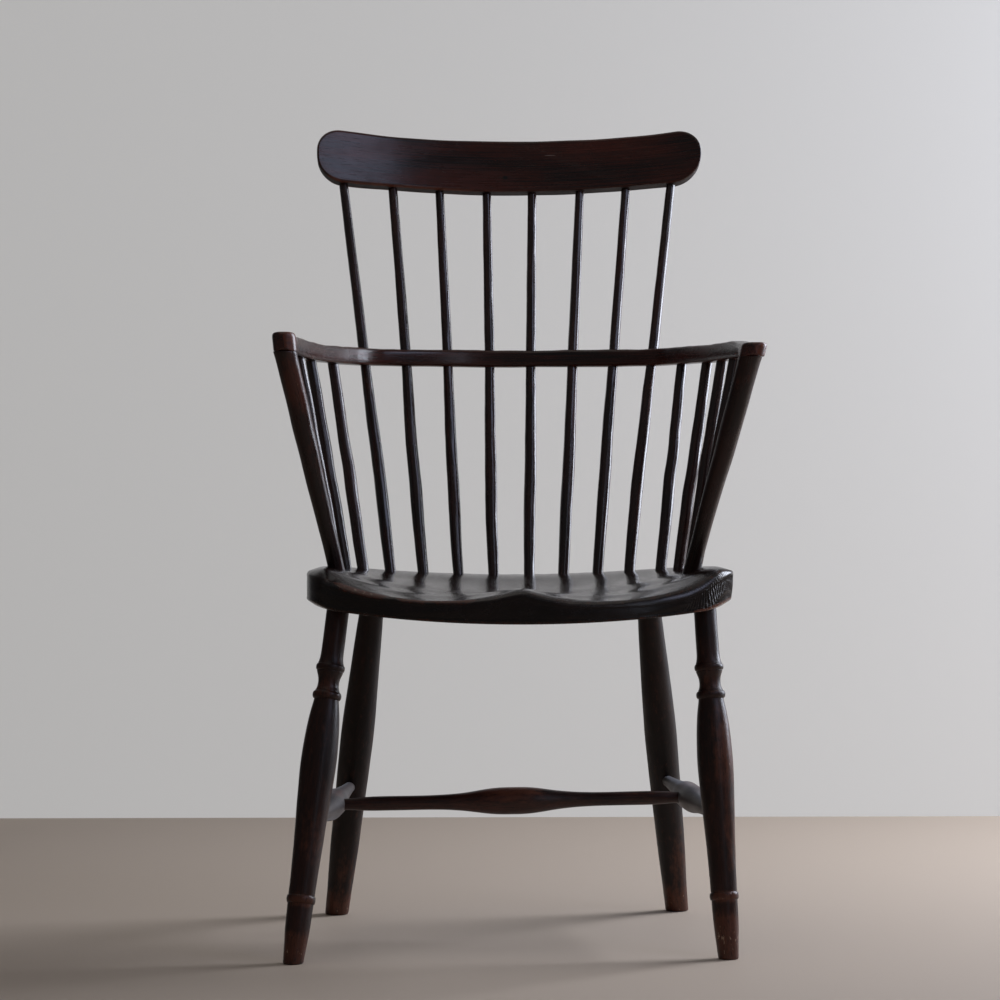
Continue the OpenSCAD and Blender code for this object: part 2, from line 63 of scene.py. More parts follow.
def smoothStep(start, end, v):
    # 0 up to start and 1 from end on, where end may be the lower of the two
    t = np.clip((np.asarray(v, float) - start) / (end - start), 0, 1)
    return t * t * (3 - 2 * t)


def softMin(a, b, k):
    # the lower of two surfaces, eased over k where they meet
    h = np.clip(0.5 + 0.5 * (b - a) / k, 0, 1)
    return b + (a - b) * h - k * h * (1 - h)


def softMax(a, b, k):
    return -softMin(-a, -b, k)


def roundOff(radius, e):
    # how far a rounded edge has dropped at e in from its end
    return radius - np.sqrt(radius ** 2 - (radius - np.minimum(e, radius)) ** 2)


def smoothLine(places, steps):
    # a smooth curve through the given places
    p = np.array(places, float)
    rows = []
    for i in range(len(p) - 1):
        a, b, c, d = p[max(i - 1, 0)], p[i], p[i + 1], p[min(i + 2, len(p) - 1)]
        for k in range(steps):
            t = k / steps
            rows.append((2 * b + (c - a) * t + (2 * a - 5 * b + 4 * c - d) * t * t
                         + (3 * b - a - 3 * c + d) * t ** 3) / 2)
    return np.array(rows + [p[-1]])


def waves(rng, longest, count=5):
    # a gentle wandering line, about 1 high, made of a few sine waves
    parts = [(longest / (1 + 0.9 * i) * rng.uniform(0.8, 1.2), rng.uniform(0, 2 * math.pi), 1 / (1 + i))
             for i in range(count)]
    return lambda s: sum(h * np.sin(2 * math.pi * np.asarray(s) / w + f) for w, f, h in parts)


def skin(rows, n):
    # the faces between rows of n points that each go once round
    return [(i * n + j, i * n + (j + 1) % n, (i + 1) * n + (j + 1) % n, (i + 1) * n + j)
            for i in range(rows - 1) for j in range(n)]


def addPiece(name, node, points, faces, grain, wear, material, edge=None):
    # edge is another finish with the first and last face that have it
    mesh = bpy.data.meshes.new(name)
    mesh.from_pydata(((points - [0, frameY, 0]) * mm).tolist(), [], faces)
    grainField = mesh.attributes.new("grain", "FLOAT_VECTOR", "POINT")
    grainField.data.foreach_set("vector", np.asarray(grain, np.float32).ravel())
    wearField = mesh.attributes.new("wear", "FLOAT", "POINT")
    wearField.data.foreach_set("value", np.clip(wear, 0, 1).astype(np.float32))
    mesh.materials.append(material)
    if edge:
        mesh.materials.append(edge[0])
        mesh.polygons.foreach_set("material_index", [int(edge[1] <= i < edge[2]) for i in range(len(faces))])
    work = bmesh.new()
    work.from_mesh(mesh)
    bmesh.ops.remove_doubles(work, verts=work.verts, dist=0.00001)
    bmesh.ops.recalc_face_normals(work, faces=work.faces)
    work.to_mesh(mesh)
    work.free()
    mesh.shade_smooth()
    piece = bpy.data.objects.new(name, mesh)
    scene.collection.objects.link(piece)
    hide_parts(node)
    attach(piece, "root")


# finishes

def linear(hexColour):
    parts = [int(hexColour[i:i + 2], 16) / 255 for i in (1, 3, 5)]
    return [c / 12.92 if c <= 0.04045 else ((c + 0.055) / 1.055) ** 2.4 for c in parts] + [1]


def addNode(tree, kind, settings=(), values=(), links=()):
    # adds one node, sets its own settings and its sockets' values, and links its sockets;
    # a link that names a node takes that node's first output
    node = tree.nodes.new(kind)
    for key, value in dict(settings).items():
        setattr(node, key, value)
    for socket, value in dict(values).items():
        node.inputs[socket].default_value = value
    for socket, source in dict(links).items():
        isNode = isinstance(source, bpy.types.Node)
        tree.links.new(source.outputs[0] if isNode else source, node.inputs[socket])
    return node


# what a maths node does
plus, times, timesPlus = {"operation": "ADD"}, {"operation": "MULTIPLY"}, {"operation": "MULTIPLY_ADD"}

# Old elm, beech and ash under a near-black spirit stain and many coats of wax. To the eye: brown
# black with warmer streaks along the grain, a satin gloss, and red-brown wood where it is rubbed.
# A pattern's size is in mm, across and along the grain. Fibres are drawn about three times as coarse
# as real ones, and pores coarser than the real 0.3 mm, so that they show.
elm = {
    "dark": "#15100e", "brown": "#2b1b16", "worn": "#5f2f1d", "nick": "#97806f",
    "tone": (46, 210), "fibre": (1.6, 70), "pore": (1.7, 14), "rings": 6, "ringDepth": 0.3,
    "gloss": (0.1, 0.24), "dulled": 0.3, "relief": 0.26, "coat": 0.3, "dust": 0, "ior": 1.5,
}
# saw and plane left the narrow sides and the underside open, and they took more stain than wax
elmEdge = {**elm, "brown": "#1f1412", "gloss": (0.14, 0.32), "dulled": 0, "coat": 0.1, "ior": 1.38}
beech = {
    "dark": "#1a0f0d", "brown": "#43231c", "worn": "#5a3022", "nick": "#9a7c68",
    "tone": (30, 120), "fibre": (1.3, 45), "pore": (1.4, 7), "rings": 4, "ringDepth": 0.16,
    "gloss": (0.18, 0.34), "dulled": 0, "relief": 0.14, "coat": 0.4, "dust": 0, "ior": 1.5,
}
# the wax is kicked and mopped off the legs, and dust lies on the side stretchers, which no cloth reaches
legBeech = {**beech, "brown": "#381b12", "worn": "#5c3424", "gloss": (0.28, 0.52), "relief": 0.26,
            "coat": 0.08, "ior": 1.36}
# the back legs' darker dark and brown are painted shade, standing for the seat's shadow over them; their
# rougher finish with almost no coat is their own
backBeech = {**legBeech, "dark": "#130c0b", "brown": "#24120d", "gloss": (0.36, 0.6), "coat": 0.02}
postBeech = {**beech, "brown": "#381a14", "worn": "#562a1d", "gloss": (0.22, 0.4), "relief": 0.2,
             "coat": 0.1, "ior": 1.4}
crossBeech = {**postBeech, "brown": "#4e2a20", "worn": "#6a3d2c", "gloss": (0.28, 0.46)}
dustyBeech = {**beech, "brown": "#371f18", "gloss": (0.42, 0.6), "coat": 0.03, "dust": 0.35}
# three tack holes and a scratch: place in the grain's own space, half size of each side, colour
combMarks = [((202.5, 27, 278.5), (0.9, 4, 0.9), "#070505"), ((203, 27, 285.5), (0.9, 4, 0.9), "#070505"),
             ((179, 27, 296), (2.6, 4, 3.4), "#0f0908"), ((209, 27, 356), (0.5, 4, 7), "#8a766c")]
ash = {
    "dark": "#170d0d", "brown": "#57251a", "worn": "#74381f", "nick": "#957661",
    "tone": (34, 160), "fibre": (1.2, 120), "pore": (1.5, 18), "rings": 5, "ringDepth": 0.2,
    "gloss": (0.16, 0.31), "dulled": 0.28, "relief": 0.16, "coat": 0.28, "dust": 0, "ior": 1.45,
    "marks": combMarks,
}
ashEdge = {**ash, "brown": "#2b1713", "gloss": (0.45, 0.65), "coat": 0, "ior": 1.33, "marks": ()}
poreColour, dustColour = "#120a09", "#c9cdd2"


def waxedWood(name, wood):
    material = bpy.data.materials.new(name)
    material.use_nodes = True
    tree = material.node_tree
    tree.nodes.clear()
    # the grain's own space is in mm, two ways across and one along
    grain = addNode(tree, "ShaderNodeAttribute", {"attribute_name": "grain"}).outputs["Vector"]
    wear = addNode(tree, "ShaderNodeAttribute", {"attribute_name": "wear"}).outputs["Fac"]

    patterns = {
        "tone": (wood["tone"], {"Detail": 3, "Roughness": 0.55}),  # where the stain took more or less
        "fibre": (wood["fibre"], {"Detail": 4, "Roughness": 0.62, "Distortion": 0.2}),
        "pore": (wood["pore"], {"Detail": 1, "Roughness": 0.5}),
        "rub": ((6.25, 14.2857), {"Detail": 4, "Roughness": 0.65}),
        "nick": ((3.0303, 6.25), {"Detail": 2}),
        "wax": ((20, 55.5556), {"Detail": 5, "Roughness": 0.6}),  # it lies uneven, so some patches shine more
        "dent": ((11.1111, 20), {"Detail": 3, "Roughness": 0.5}),
    }
    noise = {}
    for pattern, ((across, along), values) in patterns.items():
        space = addNode(tree, "ShaderNodeMapping", values={"Scale": (1 / across, 1 / across, 1 / along)},
                        links={"Vector": grain})
        noise[pattern] = addNode(tree, "ShaderNodeTexNoise", (), {"Scale": 1, **values}, {"Vector": space})
    # growth rings round the heart of the tree; a ring wave repeats every 0.314 units
    space = addNode(tree, "ShaderNodeMapping", values={"Scale": (1, 1, 0.012)}, links={"Vector": grain})
    rings = addNode(tree, "ShaderNodeTexWave",
                    {"wave_type": "RINGS", "rings_direction": "Z", "wave_profile": "SAW"},
                    {"Scale": 0.314 / wood["rings"], "Distortion": 3, "Detail": 2, "Detail Scale": 0.6},
                    {"Vector": space}).outputs["Fac"]
    pores = addNode(tree, "ShaderNodeMapRange", values={"From Min": 0.6, "From Max": 0.72},
                    links={"Value": noise["pore"]})

    # how brown each spot is: tone, fibres and rings together
    toneShare = addNode(tree, "ShaderNodeMapRange", values={"From Min": 0.36, "From Max": 0.68},
                        links={"Value": noise["tone"]})
    fibreShare = addNode(tree, "ShaderNodeMapRange",
                         values={"From Min": 0.3, "From Max": 0.75, "To Min": -0.3, "To Max": 0.4},
                         links={"Value": noise["fibre"]})
    ringShare = addNode(tree, "ShaderNodeMath", times, {1: wood["ringDepth"]}, {0: rings})
    warm = addNode(tree, "ShaderNodeMath", timesPlus, {1: 0.75}, {0: toneShare, 2: fibreShare})
    warmer = addNode(tree, "ShaderNodeMath", {**plus, "use_clamp": True}, (), {0: warm, 1: ringShare})
    colour = addNode(tree, "ShaderNodeMix", {"data_type": "RGBA"},
                     {6: linear(wood["dark"]), 7: linear(wood["brown"])}, {0: warmer}).outputs[2]

    # rubbed places: the wear painted on the mesh, broken up by its own patches and by the fibres
    rubSum = addNode(tree, "ShaderNodeMath", timesPlus, {1: 0.9}, {0: noise["rub"], 2: wear})
    rubMask = addNode(tree, "ShaderNodeMapRange", {"interpolation_type": "SMOOTHSTEP"},
                      {"From Min": 0.72, "From Max": 1.15}, {"Value": rubSum})
    rubFibres = addNode(tree, "ShaderNodeMath", times, (), {0: rubMask, 1: noise["fibre"]})
    rubbed = addNode(tree, "ShaderNodeMath", {**times, "use_clamp": True}, {1: 1.5}, {0: rubFibres})
    # small pale nicks, only in rubbed places
    nickSum = addNode(tree, "ShaderNodeMath", timesPlus, {1: 0.35}, {0: wear, 2: noise["nick"]})
    nicks = addNode(tree, "ShaderNodeMapRange", (), {"From Min": 0.94, "From Max": 1}, {"Value": nickSum})
    poreDark = addNode(tree, "ShaderNodeMath", times, {1: 0.55}, {0: pores})
    layers = [(rubbed, wood["worn"]), (nicks, wood["nick"]), (poreDark, poreColour)]
    for place, size, markColour in wood.get("marks", ()):
        away = addNode(tree, "ShaderNodeVectorMath", {"operation": "SUBTRACT"}, {1: place}, {0: grain})
        sized = addNode(tree, "ShaderNodeVectorMath", {"operation": "DIVIDE"}, {1: size}, {0: away})
        far = addNode(tree, "ShaderNodeVectorMath", {"operation": "LENGTH"}, (), {0: sized}).outputs["Value"]
        inMark = addNode(tree, "ShaderNodeMapRange", (), {"From Min": 1.2, "From Max": 0.8}, {"Value": far})
        layers.append((inMark, markColour))
    for mask, over in layers:
        colour = addNode(tree, "ShaderNodeMix", {"data_type": "RGBA"}, {7: linear(over)},
                         {0: mask, 6: colour}).outputs[2]

    waxSum = addNode(tree, "ShaderNodeMath", timesPlus, {1: 0.35}, {0: noise["fibre"], 2: noise["wax"]})
    gloss = addNode(tree, "ShaderNodeMapRange", values={
        "From Min": 0.48, "From Max": 0.9, "To Min": wood["gloss"][0], "To Max": wood["gloss"][1]},
        links={"Value": waxSum})
    dulled = addNode(tree, "ShaderNodeMath", timesPlus, {1: wood["dulled"]}, {0: wear, 2: gloss})
    # relief: raised fibres, sunk pores and shallow dents
    raised = addNode(tree, "ShaderNodeMath", timesPlus, {1: 0.45}, {0: noise["fibre"], 2: noise["dent"]})
    sunk = addNode(tree, "ShaderNodeMath", timesPlus, {1: -0.35}, {0: pores, 2: raised})
    bump = addNode(tree, "ShaderNodeBump", values={"Strength": 1, "Distance": wood["relief"] * mm},
                   links={"Height": sunk})
    shader = addNode(tree, "ShaderNodeBsdfPrincipled", values={
        "IOR": wood["ior"], "Coat Weight": wood["coat"], "Coat Roughness": 0.16, "Coat IOR": 1.45,
        "Sheen Weight": wood["dust"], "Sheen Roughness": 0.45, "Sheen Tint": linear(dustColour)},
        links={"Base Color": colour, "Roughness": dulled, "Normal": bump})
    addNode(tree, "ShaderNodeOutputMaterial", links={"Surface": shader})
    return material


waxedElm = waxedWood("waxed elm", elm)
sawnElm = waxedWood("sawn elm edge", elmEdge)
waxedBeech = waxedWood("waxed beech", beech)
kickedBeech = waxedWood("kicked beech", legBeech)
# the back legs' finish is a darker copy of the legs' beech, its extra darkness painted shade
shadedBeech = waxedWood("unpolished beech with painted shade", backBeech)
rubbedBeech = waxedWood("rubbed beech", postBeech)
moppedBeech = waxedWood("mopped beech", crossBeech)
dullBeech = waxedWood("dusty beech", dustyBeech)
waxedAsh = waxedWood("waxed ash", ash)
sawnAsh = waxedWood("sawn ash edge", ashEdge)
print("finishes made")


# the frame's lines, as in the CAD model

seat = {
    "top": 450, "thick": 49, "halfWidth": 260, "x": 2.5, "wideY": -100, "front": 128, "back": 286,
    "squareness": 2.8, "cup": 1700, "rimZ": 460, "rimRun": 3, "rimOut": 4, "bevel": 9, "bevelRun": 1.5,
    # scooped hollows: right and back of the middle of its widest line, depth and radius
    "hollows": [(0, 50, 19, 760), (-99, -128, 24, 335), (99, -128, 24, 335), (-85, -30, 19, 326),
                (85, -30, 19, 326)],
    "easing": 5, "edge": 3, "underEdge": 1.8, "undercut": 0.08,
    "ripple": 3.2, "rippleHigh": 0.46,  # left by the shave across the right front corner
    "spacing": (3.1, 0.65),  # between points along the outline, and where the ripples are
    # along the front, from left to right: where, how far in its top starts to roll over and how deep,
    # and how far in and how deep the steep lip before it goes
    "roll": [(-262, 14, 3, 1, 1), (-250, 20, 7, 2, 2), (-240, 24, 11, 3, 3), (-230, 26, 11, 4, 3),
             (-220, 24, 7.5, 4, 3), (-190, 18, 4.5, 4, 3), (-150, 9, 0.8, 4, 3), (-90, 8, 0.5, 4, 3),
             (-40, 12, 3, 4, 3), (0, 14, 4, 4, 3), (60, 16, 5, 4, 3), (100, 16, 2, 6, 5),
             (130, 16, 0.2, 7, 7), (155, 16, 0.2, 8, 9), (175, 20, 1.6, 8, 10), (200, 24, 4, 8, 10),
             (222, 24, 4.4, 8, 10), (244, 20, 3.4, 4, 6), (254, 12, 0.8, 1.6, 2), (262, 8, 0, 1, 1)],
}
cupZ = seat["top"] - seat["thick"] + seat["cup"]


def seatUnder(x):
    return cupZ - np.sqrt(seat["cup"] ** 2 - (x - seat["x"]) ** 2)


def seatOver(x):
    return cupZ - np.sqrt((seat["cup"] - seat["thick"]) ** 2 - (x - seat["x"]) ** 2)


bow = {
    "top": 746, "high": 22.5, "wide": 24, "square": 5, "backY": 213, "backRadius": 340, "cornerRadius": 110,
    "sideRadius": 610, "turns": (30, 62), "gripWide": 29, "gripRun": 60, "gripProud": 0.5, "endRound": 4.5,
    "postIn": 2,
    # the left and the right arm's end: lean, how far it stands out, extra width, how far rubbed down
    "lean": (0.1, 0.24), "leanOut": (0, 3.4), "wider": (0, 1), "rubbedDown": (0, 6.5), "rubbedRun": (115, 6),
    "rise": 5.5, "riseRun": 230, "tilt": 0.08,  # the left arm rises to its end, and turns a little before it
}


def heading(t):
    return np.array([math.sin(math.radians(t)), math.cos(math.radians(t))])


bowBack = np.array([0, bow["backY"] - bow["backRadius"]])
bowCorner = bowBack + (bow["backRadius"] - bow["cornerRadius"]) * heading(bow["turns"][0])
bowSide = bowCorner + (bow["cornerRadius"] - bow["sideRadius"]) * heading(bow["turns"][1])


def bowLine(t):
    # a point of the bow's centre line, by its turn from the middle of the back
    if t < bow["turns"][0]:
        return bowBack + bow["backRadius"] * heading(t)
    if t < bow["turns"][1]:
        return bowCorner + bow["cornerRadius"] * heading(t)
    return bowSide + bow["sideRadius"] * heading(t)


bowEnd = bowLine(90)
bowUnder = bow["top"] - bow["high"]

comb = {
    "x": 2, "y": 259, "z": 957.5, "high": 70, "thick": 26, "halfLong": 253.5, "bend": 540, "lean": 10.5,
    "corners": (35, 32, 31, 32),  # lower right, upper right, upper left and lower left
    "frontEdge": 3.2, "backEdge": 4.5,
}


def combPoint(u, v=0.0, depth=0.0):
    # u runs along the comb from its middle, v up its face, depth from its middle layer to the back
    y = np.sqrt((comb["bend"] + depth) ** 2 - u * u) - comb["bend"]
    c, s = math.cos(math.radians(comb["lean"])), math.sin(math.radians(comb["lean"]))
    return np.stack([u - comb["x"] + 0 * v, comb["y"] + y * c + v * s, comb["z"] - y * s + v * c], -1)


# turned and shaved pieces

# what a piece has unless its own look says otherwise: mm from row to row, out of round, length of the
# surface's wander, flats and how many, bend of the axis, place in the tree, rubbed places, level ends
plainLook = {"step": 3, "oval": 0.006, "wanderLength": 160, "flats": 0, "facets": 7, "bend": 0, "ripple": 0,
             "heart": (26, 9), "worn": (), "levelFoot": False, "levelHead": 0}


def turnedPiece(name, node, low, high, outline, look, material):
    # its axis runs from low through high; outline rows are distance from low and diameter
    look = {**plainLook, **look}
    rng = np.random.default_rng(look["seed"])
    sides = look["sides"]
    rows = []
    for (s0, d0), (s1, d1) in zip(outline[:-1], outline[1:]):
        n = max(1, math.ceil((s1 - s0) / look["step"]))
        rows += [(s0 + (s1 - s0) * k / n, d0 + (d1 - d0) * k / n) for k in range(n)]
    rows.append(tuple(outline[-1]))
    s, d = np.array(rows).T
    total = s[-1]
    axis = unit(high - low)
    e1 = unit(np.cross(axis, [0.13, 1, 0.07]))
    e2 = np.cross(axis, e1)
    across, along = np.meshgrid(np.arange(sides) * 2 * math.pi / sides, s)
    # out of round, a slow wander of the surface and flats left by the shave
    wander, twist = waves(rng, look["wanderLength"]), waves(rng, 260, 3)
    phase = rng.uniform(0, 2 * math.pi)
    shape = 1 + look["oval"] * np.cos(2 * (across - phase))
    shape += look["wander"] * wander(along + 40 * np.sin(across - phase))
    radius = np.repeat(d[:, None] / 2, sides, 1) * shape
    radius += look["flats"] * np.cos(look["facets"] * across + 0.7 * twist(along) + phase)
    # the axis itself is bent a little; ends stay where they are
    held0, held1 = look.get("held", (0, total))
    arch = np.sin(math.pi * np.clip((s - held0) / (held1 - held0), 0, 1))
    bendX = arch * (look["bend"] + waves(rng, total * 0.6, 3)(s) * look["ripple"])
    bendY = arch * waves(rng, total * 0.7, 3)(s) * look["ripple"]
    side = unit(np.array([1, 0, 0]) - axis * axis[0])
    depth = np.cross(axis, side)
    normal = np.cos(across)[..., None] * e1 + np.sin(across)[..., None] * e2
    spokes = radius[..., None] * normal
    slide = np.zeros_like(along)
    level = spokes[..., 2] / axis[2]
    if look["levelFoot"]:  # cut level on the floor
        slide -= level * smoothStep(30, 4, along)
    if look["levelHead"]:  # cut level under what it carries
        shoulder = total - look["levelHead"]
        slide -= level * smoothStep(shoulder - 26, shoulder, along)
    bent = side * bendX[:, None, None] + depth * bendY[:, None, None]
    points = (low + axis * (along + slide)[..., None] + spokes + bent).reshape(-1, 3)
    heartX, heartY = look["heart"]
    grain = np.stack([radius * np.cos(across) + heartX, radius * np.sin(across) + heartY,
                      along + rng.uniform(0, 4000)], -1).reshape(-1, 3)
    wear = np.full(along.shape, look["wearAll"])
    for place, spread, amount, facing in look["worn"]:
        near = np.exp(-((along - place) / spread) ** 2)
        if facing is not None:
            near = near * smoothStep(-0.1, 0.9, normal @ unit(np.array(facing, float)))
        wear = np.maximum(wear, amount * near)
    wear = wear.ravel()
    faces = skin(len(s), sides)
    for first in (0, (len(s) - 1) * sides):  # both ends are closed
        ring, centre = slice(first, first + sides), len(points)
        points = np.vstack([points, points[ring].mean(0)])
        grain = np.vstack([grain, grain[ring].mean(0)])
        wear = np.append(wear, wear[first])
        faces += [(centre, first + j, first + (j + 1) % sides) for j in range(sides)]
    addPiece(name, node, points, faces, grain, wear, material)


def bead(place, dia, thick, beside):
    # outline of a half-round ring with a fine worn groove at either side
    r = thick / 2
    rows = [(place - r - 1.2, beside[0]), (place - r - 0.5, beside[0] - 0.5)]
    for a in np.radians(np.linspace(-86, 86, 15)):
        low = beside[0] if a < 0 else beside[1]
        rows.append((place + r * math.sin(a), low + (dia - low) * math.cos(a)))
    return rows + [(place + r + 0.5, beside[1] - 0.5), (place + r + 1.2, beside[1])]


leg = {
    "topZ": 410, "socket": 26,
    "tops": [(-218.8, -154), (227.6, -153), (-181, 73), (174.4, 75)],
    "feet": [(-268.9, -237), (250.6, -209), (-230, 210), (223, 237)],
    "frontTop": 27.4, "frontSwell": 43, "frontFoot": 24.6, "neckRing": 35, "neckRingZ": (313.5, 346.5),
    "footRing": 34.8, "footRingZ": 74, "ringThick": 9, "backTop": 31, "backSwell": 42, "backFoot": 30.4,
}
legLow = [point(x, y, 0) for x, y in leg["feet"]]
legHigh = [point(x, y, leg["topZ"]) for x, y in leg["tops"]]


def legTip(i):
    at = atHeight(legLow[i], legHigh[i], seatUnder(legHigh[i][0]))
    return at + unit(legHigh[i] - legLow[i]) * leg["socket"]


def easedFoot(foot):
    return [(0, foot - 4), (0.5, foot - 1.6), (1.6, foot - 0.4)]


def frontLegOutline(tip):
    top, foot, swell, ring = leg["frontTop"], leg["frontFoot"], leg["frontSwell"], leg["footRing"]
    low, high = leg["neckRingZ"]
    z = leg["footRingZ"]
    rows = easedFoot(foot)
    rows += list(smoothLine([(3, foot), (16, foot + 1.8), (40, ring - 5), (z - 6, ring - 3.6)], 5))
    rows += bead(z, ring, leg["ringThick"], (ring - 3.6, ring - 3.2))
    rows += list(smoothLine([
        (z + 6.4, ring - 3.1), (102, ring - 2.2), (150, ring + 1.4), (194, swell - 2.6), (232, swell),
        (263, swell - 1.8), (288, swell - 6.4), (low - 9, top + 3.8), (low - 6.2, top + 3)], 6))
    rows += bead(low, leg["neckRing"], leg["ringThick"], (top + 2.9, top + 2.2))
    # a cove between the rings, waisted towards the lower one
    rows += list(smoothLine([
        (low + 6.4, top + 1), (low + 10, top - 1.3), (low + 15, top - 2), (low + 20, top - 0.9),
        (high - 8, top + 2.2), (high - 5.4, top + 4.2)], 6))
    rows += bead(high, leg["neckRing"], leg["ringThick"] - 1.6, (top + 4.4, top + 4))
    rows += list(smoothLine([
        (high + 5, top + 3.6), (high + 8, top + 2), (high + 14, top + 0.4), (high + 30, top), (tip, top)], 5))
    return np.array(rows)


def backLegOutline(tip):
    top, foot, swell = leg["backTop"], leg["backFoot"], leg["backSwell"]
    shoulder = tip - leg["socket"]
    return np.array(easedFoot(foot) + list(smoothLine([
        (3, foot), (43, foot + 2.5), (95, foot + 6.4), (157, swell - 2.6), (237, swell), (285, swell - 1.8),
        (333, top + 5.6), (shoulder - 28, top + 1.8), (shoulder - 8, top), (tip, top)], 6)))


# worn places are (height, spread, amount, side that is rubbed)
legs = [
    ("frontLegLeft", "front_leg_left", [
        (18, 26, 0.75, None), (74, 9, 0.8, (0, -1, 0)), (330, 22, 0.55, (-0.6, -1, 0)),
        (150, 60, 0.42, (0.3, -1, 0))]),
    ("frontLegRight", "front_leg_right", [
        (22, 40, 0.9, None), (74, 9, 0.85, (0, -1, 0)), (250, 70, 0.66, (0.9, -0.7, 0)),
        (150, 80, 0.5, (1, -0.4, 0)), (330, 20, 0.5, (0, -1, 0))]),
    ("backLegLeft", "back_leg_left", [
        (15, 30, 0.7, None), (60, 70, 0.45, (0.5, -1, 0)), (300, 60, 0.3, (1, 0, 0))]),
    ("backLegRight", "back_leg_right", [
        (18, 36, 0.75, None), (70, 80, 0.5, (0.8, -1, 0)), (300, 60, 0.3, (1, 0, 0))]),
]
for i, (name, node, worn) in enumerate(legs):
    tip = legTip(i)
    outline = frontLegOutline(tip[2]) if i < 2 else backLegOutline(tip[2])
    outline[:, 0] *= np.linalg.norm(tip - legLow[i]) / tip[2]
    look = {"seed": 11 + i, "sides": 64, "levelFoot": True, "wander": 0.005, "wearAll": 0.26,
            "heart": (31, 12 + 5 * i), "worn": worn}
    turnedPiece(name, node, legLow[i], tip, outline, look, kickedBeech if i < 2 else shadedBeech)
print("legs made")

stretcher = {
    "frontZ": (160, 168), "backZ": (176, 182), "end": 14.4, "sideSwell": 34, "bar": 17.4, "crossSwell": 34,
    "crossLong": 205, "socket": 15, "legThere": (37.6, 39.6),
}
end, bar, held = stretcher["end"], stretcher["bar"], stretcher["socket"]


def legSpot(i):
    heights = stretcher["frontZ"] if i < 2 else stretcher["backZ"]
    return atHeight(legLow[i], legHigh[i], heights[i % 2])


def sideMiddle(i):
    return (legSpot(i) + legSpot(i + 2)) / 2


for i, (name, node) in enumerate([("sideStretcherLeft", "side_stretcher_left"),
                                  ("sideStretcherRight", "side_stretcher_right")]):
    way = unit(legSpot(i + 2) - legSpot(i))
    a = legSpot(i) + way * (stretcher["legThere"][0] / 2 - held)
    b = legSpot(i + 2) - way * (stretcher["legThere"][1] / 2 - held)
    length, m, swell = np.linalg.norm(b - a), np.linalg.norm(sideMiddle(i) - a), stretcher["sideSwell"]
    rows = [(0, end - 1)] + list(smoothLine([
        (0.6, end), (held + 6, end), (m - 110, end + 3.6), (m - 60, swell - 9), (m - 26, swell - 0.6),
        (m, swell), (m + 26, swell - 0.6), (m + 60, swell - 9), (m + 110, end + 3.6),
        (length - held - 6, end), (length - 0.6, end)], 6))
    look = {"seed": 21 + i, "sides": 48, "wander": 0.006, "wearAll": 0.25, "worn": [(m, 50, 0.6, (0, 0, 1))]}
    turnedPiece(name, node, a, b, rows + [(length, end - 1)], look, dullBeech)

way = unit(sideMiddle(1) - sideMiddle(0))
a = sideMiddle(0) + way * (stretcher["sideSwell"] / 2 - held)
b = sideMiddle(1) - way * (stretcher["sideSwell"] / 2 - held)
length, half, swell = np.linalg.norm(b - a), stretcher["crossLong"] / 2, stretcher["crossSwell"]
m = length / 2
rows = [(0, end - 1)] + list(smoothLine([
    (0.6, end), (held + 5, end), (50, bar + 0.4), (m - half, bar + 0.6), (m - 0.62 * half, bar + 4.6),
    (m - 0.26 * half, swell - 2), (m, swell), (m + 0.26 * half, swell - 2), (m + 0.62 * half, bar + 4.6),
    (m + half, bar), (length - 50, bar - 0.2), (length - held - 5, end), (length - 0.6, end)], 6))
look = {"seed": 23, "sides": 56, "wander": 0.006, "wearAll": 0.22,
        "worn": [(m, 60, 0.62, (0, -0.6, 1)), (length - 60, 40, 0.4, (0, 0, 1))]}
turnedPiece("crossStretcher", "cross_stretcher", a, b, rows + [(length, end - 1)], look, moppedBeech)
print("stretchers made")

post = {
    "seatX": (-222, 216.5), "seatY": -84, "base": 20, "top": 26.6, "socket": 26, "tenon": 14, "tenonLong": 13,
}
base, top, held = post["base"], post["top"], post["socket"]
for side, name, node in ((-1, "armPostLeft", "arm_post_left"), (1, "armPostRight", "arm_post_right")):
    left = side < 0
    x = post["seatX"][0 if left else 1]
    low = point(x, post["seatY"], seatOver(x))
    high = point(side * (bowEnd[0] - bow["postIn"]), bowEnd[1],
                 bowUnder - bow["gripProud"] + (bow["rise"] if left else 0))
    a = low - unit(high - low) * held
    length = np.linalg.norm(high - a)
    shown = length - held
    rows = [(0, base - 1)] + list(smoothLine([
        (0.6, base), (held + 6, base), (held + 0.21 * shown, base + 0.8), (held + 0.61 * shown, top - 1.2),
        (held + 0.82 * shown, top), (length - 14, top + 0.3), (length - 4, top + 1.1)], 6))
    rows += [(length - 0.2, top + 1.4), (length, top + (0.7 if left else 1.3)), (length + 0.2, post["tenon"]),
             (length + post["tenonLong"] - 0.6, post["tenon"])]
    worn = [(length - 40, 46, 0.72, (0.4, -1, 0)), (length - 140, 90, 0.4, (0.7, -0.5, 0))] if left \
        else [(length - 26, 40, 0.36, (-0.2, -1, 0)), (length - 150, 90, 0.3, (0.8, -0.5, 0))]
    look = {"seed": 30 + side, "sides": 56, "levelHead": post["tenonLong"], "wander": 0.006, "flats": 0.12,
            "facets": 5, "wearAll": 0.15, "worn": worn, "ripple": 0.5, "held": (held, length)}
    turnedPiece(name, node, a, high, rows, look, rubbedBeech)
print("arm posts made")

